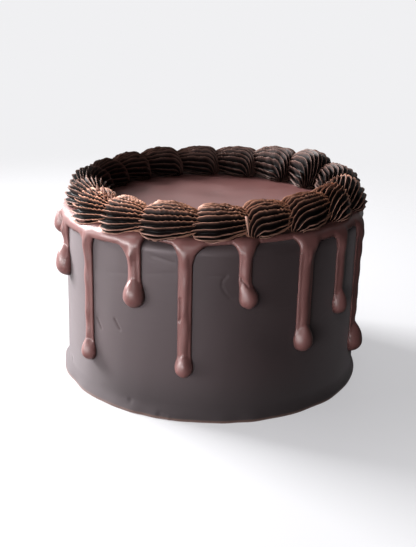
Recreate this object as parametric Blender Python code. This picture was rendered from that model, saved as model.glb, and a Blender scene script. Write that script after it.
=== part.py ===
"""A tall round chocolate drip cake: a frosted body, a poured ganache that runs down its wall in drips, and a
border of piped shells along its top edge.

Metres, +Z up. The origin is the centre of the base. Angles are seen from above: the front is at -90 degrees.
"""

import math
import random
from collections import namedtuple

import bpy
from mathutils import Vector
from mathutils.geometry import delaunay_2d_cdt
from mathutils.kdtree import KDTree

MM = 0.001
GAP = 0.3 * MM  # air between neighbouring solids

# The frosted body
BODY_RADIUS = 79.5 * MM
BODY_HEIGHT = 90.5 * MM
BODY_EDGE = 5.5 * MM  # rounding of the top edge
FOOT_RADIUS = 81.4 * MM
FOOT_SPREAD = 0.8 * MM  # more on the left, where the frosting has crept out
FOOT_LIP = 1.0 * MM
FOOT_HEIGHT = 8.0 * MM
BODY_SEGMENTS = 72

# The poured ganache
POUR_DEPTH = 2.0 * MM  # on the top and at the middle of a strand
POUR_EDGE = 3.5 * MM  # from its outline to its full depth
POUR_LIP = 0.25 * MM  # depth left at the outline itself
BEND = 4.3 * MM  # radius of its underside round the body's edge
BEND_SLACK = 0.3 * MM  # more air under the middle of the bend
BULB_DEPTH = 0.52  # of a bulb, as a share of its width
BULB_LENGTH = 1.5  # of a bulb with its drawn-out upper end, as a share of its width
BULB_DRAW = 0.75  # how soon the upper end of a bulb thins out
SWELL_POWER = 6  # how sharply a strand's width turns into its bulb's
FLARE_DROP = 5.0  # millimetres that a flare reaches down at least
FLARE_SLOPE = 0.75  # how much further down a wider flare reaches
BULB_NECK = 0.7  # a flare ends above this share of the bulb, or where a drip is short, at the next share of its room
SHORT_FLARE = 0.25
RIM_SEGMENTS = 72
STRAND_STEP = 9.0  # millimetres between the rows of points down a strand
FLARE_STEPS = 3
BULB_STEPS = 4
TIP_CROWDING = 1.6  # how much closer the points lie towards a tip
ARCH_STEP = math.radians(7)  # between the outline's points from drip to drip
DRIP_COLUMNS = (-0.62, 0.0, 0.62)  # of points inside a drip, as shares of its half width
TOP_RINGS = ((0.9, 2), (0.62, 3), (0.3, 6))  # of the flat top: share of its radius, and how much coarser
BEND_RINGS = (0.0, 0.36, 0.7, 1.0)
POINT_SPACING = 2.2 * MM  # least distance between a point of those rings and one inside a drip
EDGE_SPACING = 1.3 * MM  # least distance between a point of those rings and the outline

# The piped border
BORDER_RADIUS = 67.5 * MM
SHELL_HALF_WIDTH = 13.2 * MM
SHELL_RISE = 12.6 * MM  # from the shell's axis to its crest
SHELL_AXIS_HEIGHT = 2.6 * MM
TAIL_AXIS_HEIGHT = 5.0 * MM
SHELL_DROP = 5.0 * MM  # from the axis down, where the shell hangs free
SHELL_HEAD = 0.47  # length of the head, as a share of the border that the shell takes up
SHELL_WIDEST = 0.43  # where it is widest, as a share of the same
HEAD_BLUNTNESS = 2.6
TAIL_PINCH = 0.9  # how much of the section the tail loses by its hidden end
TAIL_CURVE = 2.4  # how late a tail sinks, and below how late it narrows
TAIL_NARROWING = 1.3
FOOT_WIDTH = 0.92  # of a tail where it lies on the ganache, as a share of its widest
FOOT_PINCH = 0.45
FOOT_SINK = 1.5 * MM
FOOT_BEGIN = 0.15  # of the tail's length, by which its foot is whole
RIDGES = 13
RIDGE_STEP = math.radians(20)
RIDGE_DEPTH = 2.4 * MM
RIDGE_FADE = 0.35  # of the ridges' depth, left where the section is smallest
LEAST_RISE = 0.3
HEAD_RINGS = (0.97, 0.80, 0.42, 0.0)  # of the head's length, ahead of the widest place
TAIL_RINGS = (0.3, 0.6, 0.84, 1.0)  # of the tail, up to the next shell
UNDERSIDE = (135, 155, 180, 205, 225)  # degrees from the crest
FOOT_START = math.radians(118)  # from the crest, where a tail's side turns towards the ganache
FOOT_WHOLE = math.radians(148)
TAIL_GAP = 2 * GAP  # between the end of a tail and the next head
TUCK_DEPTH = 2.2 * MM  # between the middle of that end and the nose of the next head
RIM_CLEARANCE = 1.0 * MM  # under the shells where the edge is round

# A shell of the border, piped by hand: the angle where its head comes out of the tail before it, how far
# outside the border's line it sits in millimetres, its width and rise as shares of the usual ones, and its
# outward lean in degrees
Piping = namedtuple("Piping", "start outward width rise lean")
BORDER = (
    Piping(-135, 2.0, 1.00, 0.93, 11),
    Piping(-117.6, 1.5, 1.00, 1.00, 9),
    Piping(-97.8, 0.5, 0.98, 0.99, 6),
    Piping(-79, -1.2, 0.94, 1.06, 2),
    Piping(-60.3, -2.4, 0.93, 1.10, 2),
    Piping(-36.3, -2.0, 0.97, 1.10, 3),
    Piping(-17, 0.7, 1.00, 1.06, 5),
    Piping(4, 2.4, 1.02, 1.12, 7),
    Piping(24.7, -0.3, 1.00, 1.42, 1),
    Piping(44.2, -1.0, 0.98, 1.27, 2),
    Piping(66.4, -1.5, 1.01, 1.09, 0),
    Piping(87.6, -1.8, 0.99, 1.06, 0),
    Piping(108.6, -1.5, 1.02, 1.08, 0),
    Piping(129.3, -1.2, 1.00, 1.02, 2),
    Piping(147.3, -0.8, 0.97, 0.98, 2),
    Piping(167, -0.4, 0.99, 1.00, 4),
    Piping(187, 0.0, 1.00, 0.98, 8),
    Piping(206, 1.5, 1.02, 0.93, 12),
)

# A drip, in degrees and millimetres: its angle, where it ends, the widths of its strand and bulb, how far
# it flares into the band on its left and right, and how high the band's edge is there
Drip = namedtuple("Drip", "angle tip strand bulb flare_left flare_right shoulder_left shoulder_right")
FRONT_DRIPS = (
    Drip(-172.5, 74.5, 9.5, 11.0, 3.0, 1.5, 86.0, 85.6),
    Drip(-161.5, 56.0, 7.0, 12.6, 1.8, 2.5, 85.0, 84.2),
    Drip(-140, 19.6, 6.8, 9.2, 4.5, 1.8, 84.8, 85.3),
    Drip(-117.5, 56.0, 7.4, 11.0, 6.5, 0.9, 86.1, 90.6),
    Drip(-99, 23.6, 7.0, 8.9, 4.5, 8.0, 89.7, 90.0),
    Drip(-77.4, 59.6, 6.4, 9.2, 3.2, 4.5, 90.5, 90.6),
    Drip(-55.7, 33.6, 8.8, 10.4, 1.8, 5.5, 90.7, 88.5),
    Drip(-37.2, 47.0, 8.0, 9.6, 3.5, 2.2, 88.5, 88.8),
    Drip(-20, 17.6, 10.0, 12.2, 2.4, 3.0, 89.0, 88.4),
)
BACK_DRIPS = 9
BACK_SEED = 11
BACK_START = 34  # degrees from the last drip at the front to the first one at the back
BACK_SWAY = 2.5
LONG_TIPS = 15, 38
SHORT_TIPS = 48, 62
BACK_STRANDS = 6.4, 8.2
BULB_SWELL = 2.0, 4.0
BACK_FLARES = 3.0, 6.5
BACK_SHOULDERS = 86.5, 90.2

COCOA_FROSTING = ((0.035, 0.022, 0.020), 0.45)
MILKY_GANACHE = ((0.150, 0.075, 0.065), 0.30)
PIPED_FROSTING = ((0.045, 0.025, 0.020), 0.60)


# ---------------------------------------------------------------- helpers


def cake_material(name, look):
    colour, roughness = look
    material = bpy.data.materials.new(name)
    material.use_nodes = True
    shader = material.node_tree.nodes["Principled BSDF"]
    shader.inputs["Base Color"].default_value = (*colour, 1.0)
    shader.inputs["Roughness"].default_value = roughness
    shader.inputs["Metallic"].default_value = 0.0
    material.diffuse_color = (*colour, 1.0)
    return material


def add_piece(name, points, faces, material, sharp_angle=40):
    mesh = bpy.data.meshes.new(name)
    mesh.from_pydata(points, [], faces)
    mesh.validate()
    mesh.shade_smooth()
    mesh.set_sharp_from_angle(angle=math.radians(sharp_angle))
    mesh.materials.append(material)
    piece = bpy.data.objects.new(name, mesh)
    bpy.context.scene.collection.objects.link(piece)
    return piece


def polar(radius, angle, z):
    return Vector((radius * math.cos(angle), radius * math.sin(angle), z))


# ---------------------------------------------------------------- the frosted body


def body_profile(angle):
    """Radius and height at that angle, from the foot up the wall and over the rounded edge."""
    foot = FOOT_RADIUS + FOOT_SPREAD * max(-math.cos(angle), 0.0) ** 2
    points = [(foot - 0.2 * FOOT_LIP, 0.0), (foot, FOOT_LIP)]
    for step in (0.45, 1.0):
        spread = (foot - BODY_RADIUS) * (1 - step) ** 2
        points.append((BODY_RADIUS + spread, FOOT_LIP + step * (FOOT_HEIGHT - FOOT_LIP)))
    for degrees in (0, 30, 60, 90):
        turn = math.radians(degrees)
        points.append(
            (
                BODY_RADIUS - BODY_EDGE + BODY_EDGE * math.cos(turn),
                BODY_HEIGHT - BODY_EDGE + BODY_EDGE * math.sin(turn),
            )
        )
    return points


def make_body(material):
    angles = [math.tau * k / BODY_SEGMENTS for k in range(BODY_SEGMENTS)]
    rings = list(zip(*(body_profile(angle) for angle in angles)))
    points = [polar(r, angle, z) for ring in rings for angle, (r, z) in zip(angles, ring)]
    faces = []
    for row in range(len(rings) - 1):
        for k in range(BODY_SEGMENTS):
            a = row * BODY_SEGMENTS + k
            b = row * BODY_SEGMENTS + (k + 1) % BODY_SEGMENTS
            faces.append((a, b, b + BODY_SEGMENTS, a + BODY_SEGMENTS))
    top_row = (len(rings) - 1) * BODY_SEGMENTS
    faces.append(tuple(reversed(range(BODY_SEGMENTS))))
    faces.append(tuple(range(top_row, top_row + BODY_SEGMENTS)))
    return add_piece("cake_body", points, faces, material)


# ---------------------------------------------------------------- the poured ganache

# The skin is laid out flat as a disc: the distance from its centre is the way from the middle of the top,
# over the edge and down the wall, so that drips are lobes of the disc's outline.
WALL_RADIUS = BODY_RADIUS + GAP
FLAT_TOP = WALL_RADIUS - BEND
BEND_CENTRE = BODY_HEIGHT + GAP - BEND
WALL_START = FLAT_TOP + BEND * math.pi / 2


def way_at_height(z):
    """How far from the middle of the top, along the skin, that height on the wall or the bend lies."""
    if z <= BEND_CENTRE:
        return WALL_START + BEND_CENTRE - z
    return FLAT_TOP + BEND * math.acos(min((z - BEND_CENTRE) / BEND, 1.0))


def on_skin(way, angle, depth):
    """The point at that way and angle, a depth out from the skin's underside."""
    if way <= FLAT_TOP:
        return polar(way, angle, BODY_HEIGHT + GAP + depth)
    turn = min((way - FLAT_TOP) / BEND, math.pi / 2)
    below = max(way - WALL_START, 0.0)
    reach = BEND + BEND_SLACK * math.sin(2 * turn) + depth
    return polar(FLAT_TOP + reach * math.sin(turn), angle, BEND_CENTRE + reach * math.cos(turn) - below)


def all_drips():
    """The drips in order round the cake. Those at the back go on in the same uneven manner."""
    rng = random.Random(BACK_SEED)
    first = FRONT_DRIPS[-1].angle
    span = FRONT_DRIPS[0].angle + 360 - first
    drips = list(FRONT_DRIPS)
    for k in range(BACK_DRIPS):
        angle = first + BACK_START + (span - BACK_START) * k / BACK_DRIPS
        angle += rng.uniform(-BACK_SWAY, BACK_SWAY)
        tip = rng.uniform(*(LONG_TIPS if k % 2 else SHORT_TIPS))
        strand = rng.uniform(*BACK_STRANDS)
        bulb = strand + rng.uniform(*BULB_SWELL)
        flares = rng.uniform(*BACK_FLARES), rng.uniform(*BACK_FLARES)
        shoulders = rng.uniform(*BACK_SHOULDERS), rng.uniform(*BACK_SHOULDERS)
        drips.append(Drip(angle, tip, strand, bulb, *flares, *shoulders))
    return drips


def bulb_shape(above_tip, length, radius):
    """Half width and relative depth of a hanging bulb: round below, drawn out to a point above."""
    if above_tip < radius:
        share = math.sqrt(max(1 - (1 - above_tip / radius) ** 2, 0.0))
    else:
        share = (1 - min((above_tip - radius) / (length - radius), 1.0) ** 2) ** BULB_DRAW
    return radius * share, share


class DripShape:
    """One drip's outline and depth, in millimetres along (across) and down the wall (height)."""

    def __init__(self, drip):
        self.drip = drip
        self.shoulder = {-1: drip.shoulder_left, 1: drip.shoulder_right}
        self.flare_width = {-1: drip.flare_left, 1: drip.flare_right}
        self.bulb_length = BULB_LENGTH * drip.bulb
        self.flare_drop = {}
        for side in (-1, 1):
            room = self.shoulder[side] - drip.tip
            above_bulb = max(room - BULB_NECK * self.bulb_length, SHORT_FLARE * room)
            self.flare_drop[side] = min(FLARE_DROP + FLARE_SLOPE * self.flare_width[side], above_bulb)

    def half_width(self, side, z):
        drip = self.drip
        swell, _ = bulb_shape(z - drip.tip, self.bulb_length, drip.bulb / 2)
        strand = drip.strand / 2
        if z - drip.tip < drip.bulb / 2:
            return swell
        width = (strand**SWELL_POWER + swell**SWELL_POWER) ** (1 / SWELL_POWER)
        up_flare = 1 - (self.shoulder[side] - z) / self.flare_drop[side]
        if up_flare > 0:
            width += self.flare_width[side] * (1 - math.sqrt(max(1 - up_flare**2, 0.0)))
        return width

    def edge(self, side):
        """Outline points (across, height) from the band down to the tip, without the tip."""
        top, drop = self.shoulder[side], self.flare_drop[side]
        heights = [top - drop * (1 - math.cos(math.pi / 2 * k / FLARE_STEPS)) for k in range(FLARE_STEPS + 1)]
        low, high = self.drip.tip + self.bulb_length, heights[-1]
        if high > low:
            rows = max(round((high - low) / STRAND_STEP), 1)
            heights += [high + (low - high) * (k + 1) / rows for k in range(rows)]
        top = heights[-1] - self.drip.tip
        for k in range(1, BULB_STEPS):
            heights.append(self.drip.tip + top * (1 - k / BULB_STEPS) ** TIP_CROWDING)
        return [(side * self.half_width(side, z), z) for z in heights]

    def bulb_depth(self, across, z):
        """Depth of the bulb alone."""
        width, share = bulb_shape(z - self.drip.tip, self.bulb_length, self.drip.bulb / 2)
        if width <= 0 or abs(across) >= width or z < self.drip.tip:
            return 0.0
        return BULB_DEPTH * self.drip.bulb * MM * share * math.sqrt(1 - (across / width) ** 2)


def disc_point(angle, way):
    """A place on the skin laid out flat, in millimetres."""
    return Vector((way / MM * math.cos(angle), way / MM * math.sin(angle)))


def wall_place(drip_shape, across, z):
    """Angle and way of a place given beside a drip's middle line."""
    angle = math.radians(drip_shape.drip.angle) + across * MM / WALL_RADIUS
    return angle, way_at_height(z * MM)


def arch_places(start, following):
    """Outline points along the band's edge, from a drip's right shoulder to the next drip's left one."""
    angle, way = start
    end_angle, end_way = wall_place(following, *following.edge(-1)[0])
    turn = (end_angle - angle) % math.tau
    steps = math.ceil(turn / ARCH_STEP)
    return [(angle + turn * k / steps, way + (end_way - way) * k / steps) for k in range(1, steps)]


def make_ganache(material):
    shapes = [DripShape(drip) for drip in all_drips()]
    outline, inside, bulbs = [], [], {}
    for number, shape in enumerate(shapes):
        left, right = shape.edge(-1), shape.edge(1)
        for across, z in left + [(0.0, shape.drip.tip)] + right[::-1]:
            outline.append(wall_place(shape, across, z))
        outline += arch_places(outline[-1], shapes[(number + 1) % len(shapes)])
        for k in range(1, len(left)):
            z = left[k][1]
            for share in DRIP_COLUMNS:
                side = -1 if share < 0 else 1
                half = min(shape.half_width(side, z), shape.drip.bulb / 2)
                place = wall_place(shape, share * half, z)
                bulbs[len(inside)] = shape.bulb_depth(share * half, z)
                inside.append(place)

    dense = []
    for k, (angle, way) in enumerate(outline):
        next_angle, next_way = outline[(k + 1) % len(outline)]
        turn = (next_angle - angle + math.pi) % math.tau - math.pi
        dense += [(angle + turn * share, way + (next_way - way) * share) for share in (0, 0.25, 0.5, 0.75)]
    near_edge = KDTree(len(dense))
    for k, (angle, way) in enumerate(dense):
        near_edge.insert(on_skin(way, angle, 0.0), k)
    near_edge.balance()

    rows = [(FLAT_TOP + BEND * math.pi / 2 * share, RIM_SEGMENTS) for share in BEND_RINGS]
    rows += [(share * FLAT_TOP, RIM_SEGMENTS // coarser) for share, coarser in TOP_RINGS]
    rows.append((0.0, 1))
    drip_places = [on_skin(way, angle, 0.0) for angle, way in inside]
    for way, count in rows:
        for k in range(count):
            angle = math.tau * (k + 0.5) / count
            place = on_skin(way, angle, 0.0)
            _, _, from_edge = near_edge.find(place)
            crowded = any((place - other).length < POINT_SPACING for other in drip_places)
            if from_edge > EDGE_SPACING and not crowded and way_inside(angle, way, outline):
                inside.append((angle, way))

    places = outline + inside
    loop = [(k, (k + 1) % len(outline)) for k in range(len(outline))]
    flat = [disc_point(angle, way) for angle, way in places]
    _, _, triangles, origins, _, _ = delaunay_2d_cdt(flat, loop, [], 1, 1e-6)
    count = len(places)
    lower = [on_skin(way, angle, 0.0) for angle, way in places]
    upper = []
    for k, (angle, way) in enumerate(places):
        _, _, from_edge = near_edge.find(lower[k])
        roundness = 1 - min(from_edge / POUR_EDGE, 1.0)
        depth = POUR_DEPTH * math.sqrt(1 - roundness**2)
        if k >= len(outline):
            depth = max(depth, bulbs.get(k - len(outline), 0.0))
        upper.append(on_skin(way, angle, max(depth, POUR_LIP)))
    faces = []
    for triangle in triangles:
        a, b, c = (origins[corner][0] for corner in triangle)
        faces += [(count + a, count + b, count + c), (c, b, a)]
    for a, b in loop:
        faces.append((a, b, count + b, count + a))
    return add_piece("ganache", lower + upper, faces, material)


def way_inside(angle, way, outline):
    """Whether a place on the flat disc lies within the outline, by crossings of a ray from it."""
    x, y = disc_point(angle, way)
    inside = False
    for k, corner in enumerate(outline):
        x1, y1 = disc_point(*corner)
        x2, y2 = disc_point(*outline[k - 1])
        if (y1 > y) != (y2 > y) and x < (x2 - x1) * (y - y1) / (y2 - y1) + x1:
            inside = not inside
    return inside


# ---------------------------------------------------------------- the piped border

GANACHE_TOP = BODY_HEIGHT + GAP + POUR_DEPTH


class PipedShell:
    """One shell of the border. Along is the way round the border from its widest place, towards its tail."""

    def __init__(self, piping, end):
        share = math.radians(end - piping.start) * BORDER_RADIUS
        self.head = SHELL_HEAD * share
        self.tail = share
        self.middle = math.radians(piping.start) + SHELL_WIDEST * share / BORDER_RADIUS
        self.half_width = SHELL_HALF_WIDTH * piping.width
        self.rise = SHELL_RISE * piping.rise
        self.lean = math.radians(piping.lean)
        self.radius = BORDER_RADIUS + piping.outward * MM

    def section(self, along, grow=0.0):
        """Width and rise of the section, as shares of the greatest, and the height of its axis."""
        if along < 0:
            reach = min(-along / (self.head + grow), 1.0)
            share = (1 - reach**HEAD_BLUNTNESS) ** (1 / HEAD_BLUNTNESS)
            return share, share, SHELL_AXIS_HEIGHT
        past = min(along / self.tail, 1.0)
        narrowing = past**TAIL_NARROWING
        axis = SHELL_AXIS_HEIGHT + (TAIL_AXIS_HEIGHT - SHELL_AXIS_HEIGHT) * narrowing
        return 1 - TAIL_PINCH * narrowing, 1 - TAIL_PINCH * past**TAIL_CURVE, axis

    def place(self, along, around, groove):
        """A point of the surface. Around runs outwards from the top; groove is 0 on a ridge, 1 between."""
        wide, high, axis = self.section(along)
        depth = groove * RIDGE_DEPTH * min(1.0, RIDGE_FADE + wide)
        across = (self.half_width - depth) * wide * math.sin(around)
        rise = self.rise * high if math.cos(around) > 0 else SHELL_DROP * wide
        up = axis + max(rise - depth, LEAST_RISE * rise) * math.cos(around)
        if along > 0:
            across, up = self.foot(along, around, across, up)
        r = self.radius + across * math.cos(self.lean) + up * math.sin(self.lean)
        z = GANACHE_TOP + up * math.cos(self.lean) - across * math.sin(self.lean)
        r, z = clear_of_ganache(r, z)
        return polar(r, self.middle + along / BORDER_RADIUS, z)

    def foot(self, along, around, across, up):
        """The same point, led down to the ganache where the tail spreads under its lowest ridges."""
        low = abs((around + math.pi) % math.tau - math.pi)
        if low <= FOOT_START:
            return across, up
        share = min((low - FOOT_START) / (FOOT_WHOLE - FOOT_START), 1.0)
        past = min(along / self.tail, 1.0)
        share *= min(past / FOOT_BEGIN, 1.0)
        spread = FOOT_WIDTH * self.half_width * (1 - FOOT_PINCH * past)
        inward = math.cos(math.pi / 2 * (low - FOOT_START) / (math.pi - FOOT_START))
        side = 1 if math.sin(around) > 0 else -1
        return across + (side * spread * inward - across) * share, up + (-FOOT_SINK - up) * share

    def holds(self, point, grow):
        """Whether a point lies in this shell's smooth outer form, grown by a gap."""
        turn = math.atan2(point.y, point.x) - self.middle
        along = ((turn + math.pi) % math.tau - math.pi) * BORDER_RADIUS
        if not -self.head - grow < along < self.tail:
            return False
        wide, high, axis = self.section(along, grow)
        r = math.hypot(point.x, point.y) - self.radius
        z = point.z - GANACHE_TOP
        across = r * math.cos(self.lean) - z * math.sin(self.lean)
        up = r * math.sin(self.lean) + z * math.cos(self.lean) - axis
        reach = (self.rise * high if up > 0 else SHELL_DROP * wide) + grow
        return (across / (self.half_width * wide + grow)) ** 2 + (up / reach) ** 2 < 1

    def tail_end(self, around, groove, following):
        """How far along this line of the surface runs before it meets the head of the next shell."""
        low, high = 0.0, self.tail
        for _ in range(30):
            middle = (low + high) / 2
            if following.holds(self.place(middle, around, groove), TAIL_GAP):
                high = middle
            else:
                low = middle
        return low


def clear_of_ganache(r, z):
    """The nearest place at r and z or outside the ganache, with air between."""
    if r <= FLAT_TOP:
        return r, max(z, GANACHE_TOP + GAP)
    reach = BEND + POUR_DEPTH + GAP + (RIM_CLEARANCE - GAP) * min((r - FLAT_TOP) / BEND, 1.0)
    if z <= BEND_CENTRE:
        return max(r, FLAT_TOP + reach), z
    out, up = r - FLAT_TOP, z - BEND_CENTRE
    distance = math.hypot(out, up)
    if distance >= reach:
        return r, z
    return FLAT_TOP + out * reach / distance, BEND_CENTRE + up * reach / distance


def plan_border():
    """The shells in order round the cake."""
    starts = [piping.start for piping in BORDER]
    ends = starts[1:] + [starts[0] + 360]
    return [PipedShell(piping, end) for piping, end in zip(BORDER, ends)]


def shell_lines():
    """The lines that run from head to tail: (angle from the crest, whether it is a groove)."""
    lines = []
    for k in range(2 * RIDGES - 1):
        lines.append(((k / 2 - (RIDGES - 1) / 2) * RIDGE_STEP, float(k % 2)))
    lines += [(math.radians(degrees), 0.0) for degrees in UNDERSIDE]
    return lines


def make_shell(name, shell, following, material):
    lines = shell_lines()
    ends = [shell.tail_end(around, groove, following) for around, groove in lines]
    rings = [[-share * shell.head] * len(lines) for share in HEAD_RINGS]
    rings += [[share * end for end in ends] for share in TAIL_RINGS]
    points = [
        shell.place(ring[k], around, groove) for ring in rings for k, (around, groove) in enumerate(lines)
    ]
    count = len(lines)
    faces = []
    for row in range(len(rings) - 1):
        for k in range(count):
            a = row * count + k
            b = row * count + (k + 1) % count
            faces.append((a, b, b + count, a + count))
    nose = len(points)
    nose_angle = shell.middle - shell.head / BORDER_RADIUS
    points.append(polar(shell.radius, nose_angle, GANACHE_TOP + SHELL_AXIS_HEIGHT))
    tuck = nose + 1
    tuck_angle = following.middle - (following.head + TUCK_DEPTH) / BORDER_RADIUS
    points.append(polar(shell.radius, tuck_angle, GANACHE_TOP + TAIL_AXIS_HEIGHT))
    last = (len(rings) - 1) * count
    for k in range(count):
        after = (k + 1) % count
        faces.append((nose, after, k))
        faces.append((tuck, last + k, last + after))
    return add_piece(name, points, faces, material, sharp_angle=25)


# ---------------------------------------------------------------- the cake


def main():
    for old in list(bpy.data.objects):
        bpy.data.objects.remove(old, do_unlink=True)
    make_body(cake_material("cocoa_frosting", COCOA_FROSTING))
    make_ganache(cake_material("milky_ganache", MILKY_GANACHE))
    shells = plan_border()
    for k, shell in enumerate(shells):
        frosting = cake_material(f"piped_frosting_{k + 1:02d}", PIPED_FROSTING)
        make_shell(f"shell_{k + 1:02d}", shell, shells[(k + 1) % len(shells)], frosting)


main()
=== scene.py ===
"""A tall chocolate drip cake: smoothed dark frosting, poured ganache with hanging drips, and a border of
shells piped with a many-toothed nozzle. Metres, +Z up, angles seen from above, the front at -90 degrees.
"""

import math
import random
from collections import namedtuple

import bpy
import numpy as np
from mathutils import Matrix, Vector
from mathutils.geometry import delaunay_2d_cdt
from mathutils.kdtree import KDTree


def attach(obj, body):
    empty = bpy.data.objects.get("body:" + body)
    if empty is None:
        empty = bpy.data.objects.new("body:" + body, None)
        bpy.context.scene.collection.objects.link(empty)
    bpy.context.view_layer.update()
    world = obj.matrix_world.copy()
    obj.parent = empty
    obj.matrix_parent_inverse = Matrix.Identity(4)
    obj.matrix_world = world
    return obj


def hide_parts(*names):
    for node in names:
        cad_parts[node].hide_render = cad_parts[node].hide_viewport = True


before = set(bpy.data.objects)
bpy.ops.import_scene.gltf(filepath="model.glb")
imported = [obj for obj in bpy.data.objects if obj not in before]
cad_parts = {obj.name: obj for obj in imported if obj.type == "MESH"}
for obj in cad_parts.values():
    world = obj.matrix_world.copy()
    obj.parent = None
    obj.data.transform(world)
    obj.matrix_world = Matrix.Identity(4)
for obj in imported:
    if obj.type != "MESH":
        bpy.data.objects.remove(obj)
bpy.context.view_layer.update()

MM = 0.001
GAP = 0.3 * MM

# The frosted body
BODY_RADIUS = 79.5 * MM
BODY_HEIGHT = 90.5 * MM
BODY_EDGE = 5.5 * MM
FOOT_RADIUS = 81.4 * MM
FOOT_SPREAD = 0.8 * MM
FOOT_LIP = 1.0 * MM
FOOT_HEIGHT = 8.0 * MM

# The poured ganache
POUR_DEPTH = 2.0 * MM
POUR_EDGE = 3.5 * MM
MARGIN_DEPTH = 0.95 * MM  # of a drip's strand beside its bead
MARGIN_EDGE = 1.6 * MM
BEAD_HEIGHT = 1.2 * MM
BEAD_SHARE = 0.62
BEAD_FADE = (89.0, 81.0)  # heights in millimetres where the beads run out above
BAND_FADE = (3.0, 11.0)  # millimetres below its shoulders where a drip has left the band
BEND = 4.3 * MM
BULB_DEPTH = 0.52  # of a bulb, as a share of its width
WALL_RADIUS = BODY_RADIUS + GAP
FLAT_TOP = WALL_RADIUS - BEND
BEND_CENTRE = BODY_HEIGHT + GAP - BEND
WALL_START = FLAT_TOP + BEND * math.pi / 2
GANACHE_TOP = BODY_HEIGHT + GAP + POUR_DEPTH

# The piped border
BORDER_RADIUS = 67.5 * MM
SHELL_HALF_WIDTH = 13.2 * MM
SHELL_RISE = 12.6 * MM
SHELL_AXIS_HEIGHT = 2.6 * MM
TAIL_AXIS_HEIGHT = 5.0 * MM
SHELL_DROP = 5.0 * MM
SHELL_HEAD = 0.47
SHELL_WIDEST = 0.43
HEAD_BLUNTNESS = 2.6
TAIL_PINCH = 0.9
TAIL_CURVE = 2.4  # how late a tail sinks, and below how late it narrows
TAIL_NARROWING = 1.3
GROOVE_DEPTH = 3.8 * MM
TAIL_TUCK = 3.4 * MM  # how deep a tail runs into the next shell

# A shell of the border: where its head starts, how far outside the border's line it sits in millimetres, its
# width and rise as shares of the usual ones, and its outward lean in degrees
Piping = namedtuple("Piping", "start outward width rise lean")
BORDER = (
    Piping(-135, 2.0, 1.00, 0.94, 17),
    Piping(-117.6, 1.4, 1.00, 1.00, 11),
    Piping(-97.8, 0.5, 0.98, 0.99, 7),
    Piping(-79, -1.2, 0.94, 1.06, 2),
    Piping(-60.3, -2.4, 0.93, 1.10, 2),
    Piping(-36.3, -2.0, 0.97, 1.10, 3),
    Piping(-17, 1.1, 1.00, 1.06, 5),
    Piping(4, 2.4, 1.02, 1.12, 7),
    Piping(24.7, -0.3, 1.00, 1.42, 1),
    Piping(44.2, -1.0, 0.98, 1.27, 2),
    Piping(66.4, -1.5, 1.01, 1.09, 0),
    Piping(87.6, -1.8, 0.99, 1.06, 0),
    Piping(108.6, -1.5, 1.02, 1.08, 0),
    Piping(129.3, -1.2, 1.00, 1.02, 2),
    Piping(147.3, -0.8, 0.97, 0.98, 2),
    Piping(167, -0.4, 0.99, 1.00, 4),
    Piping(187, -0.5, 1.00, 0.98, 6),
    Piping(206, 1.8, 1.02, 0.94, 19),
)

# How the frosting of a shell ran out of the nozzle: where its ridges start on the head, as a turn away from
# the shell's end and the parts of that turn that go outwards and upwards, how torn its ridges are, and how
# pale their edges are: partly dried frosting and partly a painted highlight, strong on the front shells and
# weak on those at the back, which are left in painted shade
Flow = namedtuple("Flow", "turn outwards upwards tear pale", defaults=(1.0,))
USUAL_FLOW = Flow(58, -0.75, -0.65, 0.3, 0.25)
FLOWS = {
    0: Flow(60, -0.70, -0.70, 1.0, 1.2),
    1: Flow(58, -0.75, -0.65, 1.0, 0.9),
    2: Flow(58, -0.75, -0.65, 0.9, 1.1),
    3: Flow(82, 0.60, -0.80, 1.0, 1.4),
    4: Flow(72, 0.45, -0.9, 1.0, 1.4),
    5: Flow(64, 0.30, -0.95, 1.0, 1.5),
    6: Flow(60, 0.0, -1.0, 0.7, 0.9),
    16: Flow(58, -0.75, -0.65, 0.5, 0.7),
    17: Flow(58, -0.6, -0.8, 1.3, 1.3),
}

# Teeth that stand up where the nozzle tore off, by shell: how far along the tail as a share, degrees from the
# top, and height and width in millimetres
Tooth = namedtuple("Tooth", "along around height width")
TEETH = {
    17: (
        Tooth(0.02, -18, 2.2, 2.2),
        Tooth(0.15, -13, 2.7, 2.3),
        Tooth(0.28, -20, 2.4, 2.2),
        Tooth(0.41, -15, 2.8, 2.3),
        Tooth(0.54, -21, 2.5, 2.2),
        Tooth(0.67, -16, 2.2, 2.1),
        Tooth(0.10, 3, 1.5, 1.8),
        Tooth(0.34, 5, 1.4, 1.8),
        Tooth(0.56, 4, 1.4, 1.7),
    ),
}
# A wisp of frosting that hangs from a shell over the band: the shell, degrees and millimetres of its top and
# tip, and its width
Wisp = namedtuple("Wisp", "shell from_angle from_height to_angle to_height width")
WISPS = (Wisp(3, -78.6, 104.0, -78.1, 94.3, 1.8),)

# A drip, in degrees and millimetres: its angle, where it ends, the widths of its strand and bulb, how far it
# flares into the band on its left and right, and how high the band's edge is there
Drip = namedtuple("Drip", "angle tip strand bulb flare_left flare_right shoulder_left shoulder_right")
FRONT_DRIPS = (
    Drip(-172.5, 74.5, 9.5, 11.0, 3.0, 1.5, 86.0, 85.6),
    Drip(-161.5, 56.0, 7.0, 12.6, 1.8, 2.5, 85.0, 84.2),
    Drip(-140, 19.6, 6.8, 9.2, 4.5, 1.8, 84.8, 85.3),
    Drip(-117.5, 56.0, 7.4, 11.0, 6.5, 0.9, 86.1, 90.6),
    Drip(-99, 23.6, 7.0, 8.9, 4.5, 8.0, 89.7, 90.0),
    Drip(-77.4, 59.6, 6.4, 9.2, 3.2, 4.5, 90.5, 90.6),
    Drip(-55.7, 33.6, 8.8, 10.4, 1.8, 5.5, 90.7, 88.5),
    Drip(-37.2, 47.0, 8.0, 9.6, 3.5, 2.2, 88.5, 88.8),
    Drip(-20, 17.6, 10.0, 12.2, 2.4, 3.0, 89.0, 88.4),
)
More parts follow.
